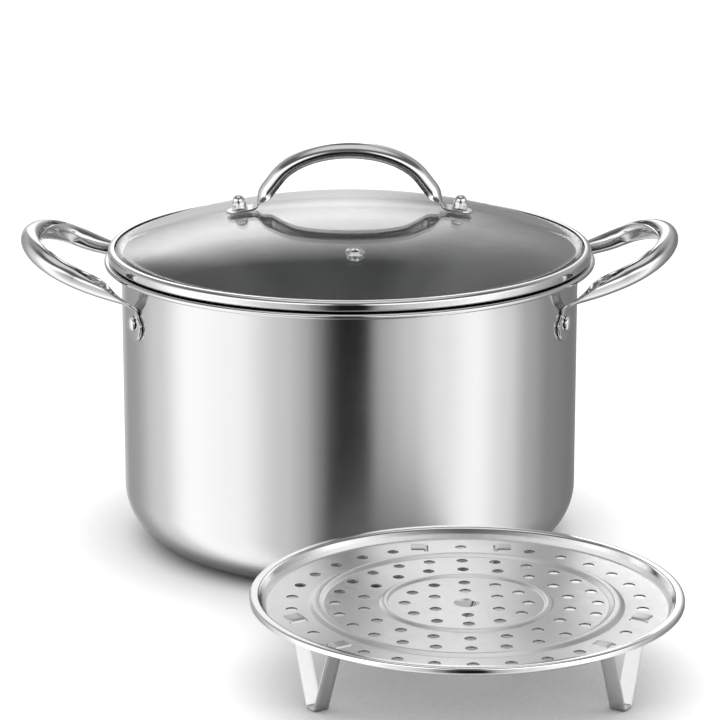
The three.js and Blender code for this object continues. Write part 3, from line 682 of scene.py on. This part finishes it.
rivet_shape = lathe(rivet_outline(), SIDES_SMALL)
lying = Matrix.Rotation(math.pi / 2, 4, "Y")
for name, turn in (("right_rear", tab_angle), ("right_front", -tab_angle),
                   ("left_rear", math.pi - tab_angle), ("left_front", math.pi + tab_angle)):
    place = Matrix.Rotation(turn, 4, "Z") @ Matrix.Translation((0, 0, rivet_z)) @ lying
    piece(f"side_rivet_{name}", rivet_shape, polished_steel, "pot", f"rivet_{name}",
          place)


# Lid glass and the band folded round its edge

band_radius = POT_RADIUS + BAND_REACH
band_bottom = POT_HEIGHT + SEAT
band_inner = band_radius - BAND_SHEET
glass_edge = band_inner - SEAT
glass_seat = band_bottom + BAND_SHEET + SEAT
lip_radius = band_radius - BAND_LIP
lip_under = glass_seat + GLASS_EDGE_DEPTH + SEAT
glass_apex = glass_seat + GLASS_EDGE_DEPTH + GLASS_RISE
dome_radius = (lip_radius ** 2 + GLASS_RISE ** 2) / (2 * GLASS_RISE)
dome_centre = glass_apex - dome_radius
under_radius = dome_radius - GLASS_THICKNESS


def glass_outline():
    edge_angle = math.degrees(math.acos(glass_edge / dome_radius))
    seat_angle = math.degrees(math.asin((glass_seat - dome_centre) / under_radius))
    under = arc(0, dome_centre, under_radius, 90, seat_angle, 24)
    over = arc(0, dome_centre, dome_radius, edge_angle, 90, 24)
    under[0] = (0, under[0][1])
    over[-1] = (0, over[-1][1])
    return [*under, (glass_edge, glass_seat), *over]


def on_glass(distance, heading):
    """A frame with its Z square to the glass and its origin at the dome's centre."""
    turn = Matrix.Rotation(math.radians(heading), 4, "Z")
    tilt = Matrix.Rotation(math.asin(distance / dome_radius), 4, "Y")
    return Matrix.Translation((0, 0, dome_centre)) @ turn @ tilt


def band_outline():
    skirt_outer = pot_inner - SKIRT_PLAY
    skirt_inner = skirt_outer - BAND_SHEET
    skirt_bottom = POT_HEIGHT - SKIRT_DEPTH
    band_top = lip_under + BAND_SHEET
    corner_r = band_radius - BAND_CORNER
    corner_z = band_top - BAND_CORNER
    return [
        *arc((skirt_inner + skirt_outer) / 2, skirt_bottom + BAND_SHEET / 2, BAND_SHEET / 2, 180, 360, 6),
        *rounded([(skirt_outer, skirt_bottom + 1), (skirt_outer, band_bottom), (band_radius, band_bottom),
                  (band_radius, corner_z)], BAND_FOOT, closed=False),
        *arc(corner_r, corner_z, BAND_CORNER, 0, 90, 8),
        *arc(lip_radius + BAND_SHEET / 2, band_top - BAND_SHEET / 2, BAND_SHEET / 2, 90, 270, 6),
        *arc(corner_r, corner_z, BAND_CORNER - BAND_SHEET, 90, 0, 4),
        (band_inner, band_bottom + BAND_SHEET),
        (skirt_inner, band_bottom + BAND_SHEET),
    ]


piece("glass_dome", lathe(glass_outline(), SIDES), lid_glass, "lid", "lid_glass")
piece("edge_band", lathe(band_outline(), SIDES), polished_steel, "lid", "lid_band")


# Steam vent: an eyelet through the glass, closed over a washer below

def ring_outline(inner, outer, low, high):
    return rounded([(inner, low), (outer, low), (outer, high), (inner, high)], (high - low) / 3)


def eyelet_outline():
    outer = VENT_BORE + VENT_TUBE
    flare_top = under_radius - SEAT - VENT_WASHER_HEIGHT - SEAT
    top = dome_radius + SEAT
    return rounded([
        (VENT_BORE, flare_top - VENT_TUBE),
        (outer + VENT_TUBE, flare_top - VENT_TUBE),
        (outer + VENT_TUBE, flare_top),
        (outer, flare_top),
        (outer, top),
        (VENT_FLANGE, top),
        (VENT_FLANGE, top + VENT_FLANGE_HEIGHT / 2),
        (VENT_FLANGE - VENT_FLANGE_HEIGHT, top + VENT_FLANGE_HEIGHT),
        (VENT_BORE + VENT_TUBE / 2, top + VENT_FLANGE_HEIGHT),
        (VENT_BORE, top + VENT_FLANGE_HEIGHT / 2),
    ], VENT_ROUNDING)


vent = on_glass(VENT_DISTANCE, VENT_HEADING)
washer_top = under_radius - SEAT
vent_ring = ring_outline(VENT_BORE + VENT_TUBE + SEAT, VENT_WASHER,
                         washer_top - VENT_WASHER_HEIGHT, washer_top)
for name, outline, node in (("vent_tube", eyelet_outline(), "vent_eyelet"),
                            ("vent_ring", vent_ring, "vent_washer")):
    piece(name, lathe(outline, SIDES_SMALL), polished_steel, "lid", node, vent)


# Lid handle: a strip bolted down at both feet and rolled under along the arch

gasket_low = dome_radius + SEAT
foot_under = gasket_low + GASKET_HEIGHT + SEAT
foot_top = foot_under + LID_HANDLE_SHEET


def lid_handle_stations():
    """Half of the lid handle, from the toe of its foot to the top of the arch, and its mirror image."""
    tilt = math.asin(BOLT_SPACING / 2 / dome_radius)
    glass_out = Vector((math.sin(tilt), 0, math.cos(tilt)))
    inward = Vector((-math.cos(tilt), 0, math.sin(tilt)))
    bolt = glass_out * (foot_under + LID_HANDLE_SHEET / 2) + Z * dome_centre
    heel = bolt + inward * LID_FOOT_HEEL
    arch_z = glass_apex + LID_HANDLE_RISE - LID_HANDLE_SHEET / 2 - LID_GRIP - LID_ARCH_HEIGHT
    touch = touch_angle(heel.x, heel.z - arch_z, LID_ARCH_HALF, LID_ARCH_HEIGHT, 1)

    def on_arch(angle):
        return Vector((LID_ARCH_HALF * math.cos(angle), 0, arch_z + LID_ARCH_HEIGHT * math.sin(angle)))

    leg = (on_arch(touch) - heel).normalized()
    roll = math.radians(LID_GRIP_ROLL)
    grip_width = roll * LID_GRIP
    stations = []

    def on_foot(distance, width, sheet=LID_HANDLE_SHEET):
        stations.append({"place": bolt + inward * distance, "along": inward, "outer": glass_out,
                         "width": width, "sheet": sheet})

    def add_rolled(place, along, opened, lifted):
        stations.append({
            "place": place,
            "along": along,
            "outer": Vector((along.z, 0, -along.x)),
            "width": mix(LID_FOOT_WIDTH, grip_width, opened),
            "roll": roll * opened,
            "lift": LID_GRIP * lifted,
            "spread": mix(1, LID_GRIP_SPREAD, opened),
        })

    # Foot, from its round toe to the heel
    for setback, width, sheet in round_end(LID_FOOT_WIDTH / 2, LID_HANDLE_SHEET, 10):
        on_foot(setback - LID_FOOT_TOE, width, sheet)
    on_foot(LID_FOOT_WIDTH / 2 - LID_FOOT_TOE, LID_FOOT_WIDTH)

    # Fold at the heel, leg that rolls under, and arch
    fold_start = heel - inward * LID_HEEL_BEND
    fold_stop = heel + leg * LID_HEEL_BEND
    for t in steps(8):
        add_rolled(*bezier(fold_start, heel, fold_stop, t), 0, 0)
    for t in steps(14)[1:]:
        add_rolled(fold_stop + leg * (LID_OPEN * t), leg, smooth(t), math.sin(t * math.pi / 2))
    for t in steps(24):
        angle = mix(touch, math.pi / 2, t)
        slope = Vector((-LID_ARCH_HALF * math.sin(angle), 0, LID_ARCH_HEIGHT * math.cos(angle)))
        add_rolled(on_arch(angle), slope.normalized(), 1, 1)
    return with_mirror(stations, (-1, 1, 1))


piece("arch_handle", strip(lid_handle_stations(), LID_HANDLE_SHEET), polished_steel, "lid", "lid_handle")


# Bolts: screw from below, gaskets on both sides of the glass, washer, and a domed nut on the foot

nut_low = foot_top + SEAT
low_gasket_top = under_radius - SEAT
low_washer_top = low_gasket_top - GASKET_HEIGHT - SEAT
head_top = low_washer_top - WASHER_HEIGHT - SEAT
shank_hole = SHANK + SEAT


def screw_outline():
    top = nut_low + NUT_FLANGE_HEIGHT + NUT_HEX
    return [*dome(HEAD_RADIUS, head_top, -HEAD_HEIGHT)[::-1], (SHANK, head_top), (SHANK, top), (0, top)]


def nut_shape():
    """A flange, a hexagon with turned-down corners and a dome, over a blind bore."""
    hex_low = nut_low + NUT_FLANGE_HEIGHT
    hex_top = hex_low + NUT_HEX
    corner = NUT_FLATS / 2 / math.cos(math.pi / 6)
    bore_top = hex_top + SEAT
    bore = [(0, bore_top), (shank_hole, bore_top), (shank_hole, nut_low)]
    flange = [
        (NUT_FLANGE - NUT_FLANGE_BEVEL, nut_low),
        (NUT_FLANGE, nut_low + NUT_FLANGE_BEVEL),
        (NUT_FLANGE, hex_low - NUT_FLANGE_BEVEL),
        (NUT_FLANGE - NUT_FLANGE_BEVEL, hex_low),
    ]
    sided = [
        (corner - NUT_HEX_BEVEL, hex_low),
        (corner, hex_low + NUT_HEX_BEVEL),
        (corner, hex_top - NUT_CORNER_DROP),
    ]
    shoulder = [(NUT_DOME + NUT_SHOULDER, hex_top), (NUT_DOME, hex_top + NUT_HEX_BEVEL)]
    cap = arc(0, nut_low + NUT_HEIGHT - NUT_DOME, NUT_DOME, 0, 90, 10)
    cap[-1] = (0, cap[-1][1])
    outline = bore + flange + sided + shoulder + cap
    first_sided = len(bore + flange)
    sided_rows = range(first_sided, first_sided + len(sided))

    def hexagon(index, angle):
        radius = outline[index][0]
        flat = (angle + math.pi / 6) % (math.pi / 3) - math.pi / 6
        side = NUT_FLATS / 2 / math.cos(flat)
        return min(radius, side) if index in sided_rows else radius

    return lathe(outline, SIDES_SMALL, hexagon)


for side, heading in (("right", 0), ("left", 180)):
    bolt = on_glass(BOLT_SPACING / 2, heading)
    top_gasket = ring_outline(shank_hole, GASKET_RADIUS, gasket_low, gasket_low + GASKET_HEIGHT)
    low_gasket = ring_outline(shank_hole, GASKET_RADIUS, low_gasket_top - GASKET_HEIGHT, low_gasket_top)
    washer = ring_outline(shank_hole, WASHER_RADIUS, low_washer_top - WASHER_HEIGHT, low_washer_top)
    for name, shape, material, node, slot in (
        ("cap_nut", nut_shape(), polished_steel, "domed_nut", "polished_steel"),
        ("bolt", lathe(screw_outline(), SIDES_SMALL), polished_steel, "lid_screw", "polished_steel"),
        ("upper_gasket", lathe(top_gasket, SIDES_SMALL), silicone, "top_gasket", "silicone"),
        ("lower_gasket", lathe(low_gasket, SIDES_SMALL), silicone, "low_gasket", "silicone"),
        ("under_washer", lathe(washer, SIDES_SMALL), polished_steel, "lid_washer", "polished_steel"),
    ):
        piece(f"{name}_{side}", shape, material, "lid", f"{node}_{side}", bolt, sharp=25)


# Rack plate: pressed sheet with two ribs, a leaning wall, a rolled rim, holes and leg slots

rack_low, rack_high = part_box("rack_plate")
rack_radius = (rack_high.x - rack_low.x) / 2 / MM
rack_x = (rack_low.x + rack_high.x) / 2 / MM
rack_y = (rack_low.y + rack_high.y) / 2 / MM
rack_place = Matrix.Translation((rack_x, rack_y, 0))
deck_middle = RACK_DECK - RACK_SHEET / 2
leg_step = 360 / LEG_RING_COUNT
slot_half = LEG_RING * math.sin(math.radians(leg_step))
slot_radius = LEG_RING * math.cos(math.radians(leg_step))


def sheet_outline(line, sheet):
    """Outline of a sheet that follows a bent line, half its thickness to each side."""
    sides = [[], []]
    for i, here in enumerate(line):
        here = Vector(here)
        before = Vector(line[max(i - 1, 0)])
        after = Vector(line[min(i + 1, len(line) - 1)])
        along = (after - before).normalized()
        normal = Vector((-along.y, along.x)) * (sheet / 2)
        sides[0].append(tuple(here + normal))
        sides[1].append(tuple(here - normal))
    return sides[0] + sides[1][::-1]


def deck_line():
    """The middle of the plate's sheet, from the centre hole to the rolled rim."""
    wall_top = rack_radius - RACK_ROLL
    wall_foot = wall_top - RACK_WALL_LEAN
    rim = RACK_DECK + RACK_WALL_HEIGHT - RACK_SHEET / 2
    edge = rack_radius - RACK_SHEET / 2
    corners = [(RACK_CENTRE_HOLE, deck_middle)]
    for radius, width, height in RACK_RIBS:
        crown = width / 5
        corners += [
            (radius - width / 2, deck_middle),
            (radius - crown, deck_middle + height),
            (radius + crown, deck_middle + height),
            (radius + width / 2, deck_middle),
        ]
    corners += [(wall_foot, deck_middle), (wall_top, rim), (edge, rim), (edge, rim - RACK_ROLL / 2)]
    return rounded(corners, RACK_BEND, count=5, closed=False)


def disc(radius, x, y, sides=24):
    """Points round a circle."""
    angles = [2 * math.pi * k / sides for k in range(sides)]
    return [(x + radius * math.cos(a), y + radius * math.sin(a)) for a in angles]


def turned(x, y, degrees):
    """A point of the rack, turned about the rack's own axis, in the CAD frame."""
    return (rack_place @ Matrix.Rotation(math.radians(degrees), 4, "Z") @ Vector((x, y, 0))).to_2d()


def leg_angles():
    return [LEG_START + i * 360 / LEG_COUNT for i in range(LEG_COUNT)]


def deck_cuts():
    """Blocks that punch the rings of holes and the slots for the legs."""
    low = RACK_DECK - 2 * RACK_SHEET
    high = RACK_DECK + RACK_SHEET
    cuts = []
    places = []
    for radius, count, start in RACK_RINGS:
        places += [(radius, start + i * 360 / count) for i in range(count)]
    slots = {(leg + side * leg_step) % 360 for leg in leg_angles() for side in (1, -1)}
    for i in range(LEG_RING_COUNT):
        angle = LEG_START + i * leg_step
        if angle % 360 not in slots:
            places.append((LEG_RING, angle))
    for radius, angle in places:
        cuts.append(prism(disc(RACK_HOLE, *turned(radius, 0, angle)), low, high))
    half_width = LEG_WIDTH / 2 + SLOT_PLAY
    half_depth = LEG_SHEET / 2 + SLOT_PLAY
    slot_corners = [(-half_width, -half_depth), (half_width, -half_depth),
                    (half_width, half_depth), (-half_width, half_depth)]
    for leg in leg_angles():
        for side in (1, -1):
            slot = [turned(slot_radius + x, side * slot_half + y, leg) for x, y in slot_corners]
            cuts.append(prism(slot, low, high))
    return cuts


plate = piece("steam_plate", lathe(sheet_outline(deck_line(), RACK_SHEET), SIDES), rack_steel_painted_bright, "rack",
              "rack_plate", rack_place)
# The cut faces get the dark colour: painted shade in the holes and slots
cut(plate, deck_cuts(), hole_shade_steel)


# Rack legs: a strip bent into a narrow V, its ends folded over the deck

def leg_stations():
    """One leg, down from its fold over the deck to the floor and up again."""
    fold = RACK_DECK + SEAT + LEG_SHEET / 2
    floor = LEG_SHEET / 2
    half = [
        (slot_half + LEG_FOLD, fold),
        (slot_half, fold),
        (slot_half, fold - 2 * LEG_BEND),
        (LEG_FOOT, floor),
    ]
    line = half + [(-y, z) for y, z in reversed(half)]
    path = [Vector((slot_radius, y, z)) for y, z in rounded(line, LEG_BEND, count=6, closed=False)]
    stations = []
    for i, place in enumerate(path):
        along = (path[min(i + 1, len(path) - 1)] - path[max(i - 1, 0)]).normalized()
        outer = along.cross(Vector((1, 0, 0))).normalized()
        stations.append({"place": place, "along": along, "outer": outer, "width": LEG_WIDTH})
    return stations


leg_shape = strip(leg_stations(), LEG_SHEET, section=4)
for i, angle in enumerate(leg_angles()):
    turn = rack_place @ Matrix.Rotation(math.radians(angle), 4, "Z")
    piece(f"plate_leg_{i + 1}", leg_shape, leg_steel, "rack", f"rack_leg_{i + 1}", turn)


# Stage: floor, studio light and camera

FLOOR_RADIUS = 9.0
FLOOR_DROP = 0.0002        # metres below the part, so that the two don't lie in one plane
FLOOR_SHADE = (0.45, 0.45, 0.45, 1)
FLOOR_GLOW = 0.95          # brightness of the open floor as the camera sees it
CONTACT_REACH = 0.08       # metres over which the contact shadow fades
SHADOW_OPENNESS = (0.15, 0.9)   # share of open sky at which the glow starts and is full
MIRROR_OPENNESS = (0.35, 0.6)   # share of open sky at which mirror rays begin to pass, and all do

# Light levels of the studio by azimuth, in degrees from the camera's side towards +X
LOW_LIGHT = [
    (-180, 0.8), (-174, 0.66), (-166, 0.66), (-152, 0.38), (-140, 0.42), (-112, 0.82), (-88, 1.36),
    (-60, 1.24), (-33, 0.74), (-22, 0.54), (-16, 0.28), (-9, 0.05), (-4, 0.01), (7, 0.01), (16, 0.5),
    (29, 0.74), (45, 1.0), (66, 1.28), (84, 0.92), (102, 0.5), (120, 0.3), (150, 0.22), (175, 0.3),
    (180, 0.8),
]
MID_LIGHT = [
    (-180, 2.1), (-166, 2.1), (-162, 0.5), (-140, 0.5), (-110, 0.7), (-75, 1.4), (-50, 1.6), (-25, 1.8),
    (-12, 1.2), (-6, 0.2), (4, 0.2), (10, 1.4), (20, 1.8), (50, 1.8), (75, 1.4), (110, 0.5), (150, 0.45),
    (164, 0.55), (171, 0.85), (176, 1.85), (180, 2.1),
]
HIGH_LIGHT = [
    (-180, 0.05), (-172, 0.12), (-164, 0.35), (-150, 0.35), (-100, 0.12), (100, 0.12), (150, 0.4),
    (165, 0.55), (171, 0.3), (176, 0.05),
]
OVERHEAD_LIGHT = (0.8, 0.8, 0.8, 1)

# Elevations between which one level blends into the next, in degrees
LOW_TO_MID = (6, 20)
MID_TO_HIGH = (27, 41)
HIGH_TO_OVERHEAD = (56, 70)

# How far the edge between the middle and high levels comes down, in degrees, by azimuth
EDGE_DROP = [(-177, 0), (-172, 1), (-168, 3), (-164, 6), (-140, 6), (-100, 0)]

CAMERA_SENSOR = 36
CAMERA_LENS = 160
CAMERA_SHIFT = -0.024
CAMERA_CLIP = (0.05, 50)
CAMERA_PLACE = (0, -1.6421, 0.5347)
CAMERA_DOWN = 14.73        # degrees below level
CAMERA_TURN = -0.19        # degrees about Z


def build_floor():
    """A floor that is white to the camera and through the glass, with a soft contact shadow. In the open,
    mirror rays pass through it to the studio's light."""
    mesh = bpy.data.meshes.new("floor")
    ring = disc(FLOOR_RADIUS, 0, 0, 96)
    mesh.from_pydata([(x, y, -FLOOR_DROP) for x, y in ring], [], [tuple(range(len(ring)))])
    material, g = new_material("pale floor")
    path = g.add("LightPath").outputs
    seen = g.math("MAXIMUM", path["Is Camera Ray"], path["Is Transmission Ray"])
    open_sky = g.add("AmbientOcclusion", {"Distance": CONTACT_REACH}, samples=8).outputs["AO"]
    glow_level = g.math("MULTIPLY", seen, g.span(open_sky, 0.0, FLOOR_GLOW, *SHADOW_OPENNESS))
    matte = g.add("BsdfDiffuse", {"Color": FLOOR_SHADE})
    glow = g.add("Emission", {"Color": (1, 1, 1, 1), "Strength": glow_level})
    both = g.add("AddShader", {0: matte.outputs[0], 1: glow.outputs[0]})
    unseen = g.math("MULTIPLY", path["Is Glossy Ray"], g.span(open_sky, 0.0, 1.0, *MIRROR_OPENNESS))
    clear = g.add("BsdfTransparent")
    g.output(g.add("MixShader", {0: unseen, 1: both.outputs[0], 2: clear.outputs[0]}))
    mesh.materials.append(material)
    floor = bpy.data.objects.new("floor", mesh)
    bpy.context.scene.collection.objects.link(floor)


def build_world():
    """The studio's light by direction, like soft boxes and flags round the part. The camera sees white."""
    world = bpy.data.worlds.new("studio")
    bpy.context.scene.world = world
    world.use_nodes = True
    g = Graph(world.node_tree)
    direction = g.add("SeparateXYZ", {0: g.add("TexCoord").outputs["Generated"]}).outputs
    azimuth = g.math("ARCTAN2", direction["X"], g.math("MULTIPLY", direction["Y"], -1.0))
    turn = g.span(azimuth, 0, 1, -math.pi, math.pi)

    def level(stops):
        return g.ramp(turn, [(0.5 + a / 360, v) for a, v in stops], "EASE")

    def between(height, edge, below, above):
        """The levels below and above an edge, blended between its two elevations."""
        start, stop = edge
        share = g.span(height, 0, 1, math.radians(start), math.radians(stop))
        return g.add("Mix", {"Factor": share, "A": below, "B": above}, data_type="RGBA").outputs["Result"]

    elevation = g.math("ARCSINE", direction["Z"])
    dropped = g.math("ADD", elevation, level([(a, math.radians(d)) for a, d in EDGE_DROP]))
    sides = between(elevation, LOW_TO_MID, level(LOW_LIGHT), level(MID_LIGHT))
    sky = between(dropped, MID_TO_HIGH, sides, level(HIGH_LIGHT))
    whole = between(elevation, HIGH_TO_OVERHEAD, sky, OVERHEAD_LIGHT)
    ray = g.add("LightPath").outputs["Is Camera Ray"]
    studio = g.add("Background", {"Color": whole, "Strength": 1.0})
    backdrop = g.add("Background", {"Color": (1, 1, 1, 1), "Strength": 1.0})
    seen = g.add("MixShader", {0: ray, 1: studio.outputs[0], 2: backdrop.outputs[0]})
    g.output(seen, "OutputWorld")


def build_camera():
    data = bpy.data.cameras.new("camera")
    data.sensor_width = CAMERA_SENSOR
    data.lens = CAMERA_LENS
    data.shift_y = CAMERA_SHIFT
    data.clip_start, data.clip_end = CAMERA_CLIP
    camera = bpy.data.objects.new("camera", data)
    bpy.context.scene.collection.objects.link(camera)
    camera.location = CAMERA_PLACE
    camera.rotation_euler = (math.radians(90 - CAMERA_DOWN), 0, math.radians(CAMERA_TURN))
    bpy.context.scene.camera = camera


build_floor()
build_world()
build_camera()
bpy.context.scene.view_settings.view_transform = "Standard"
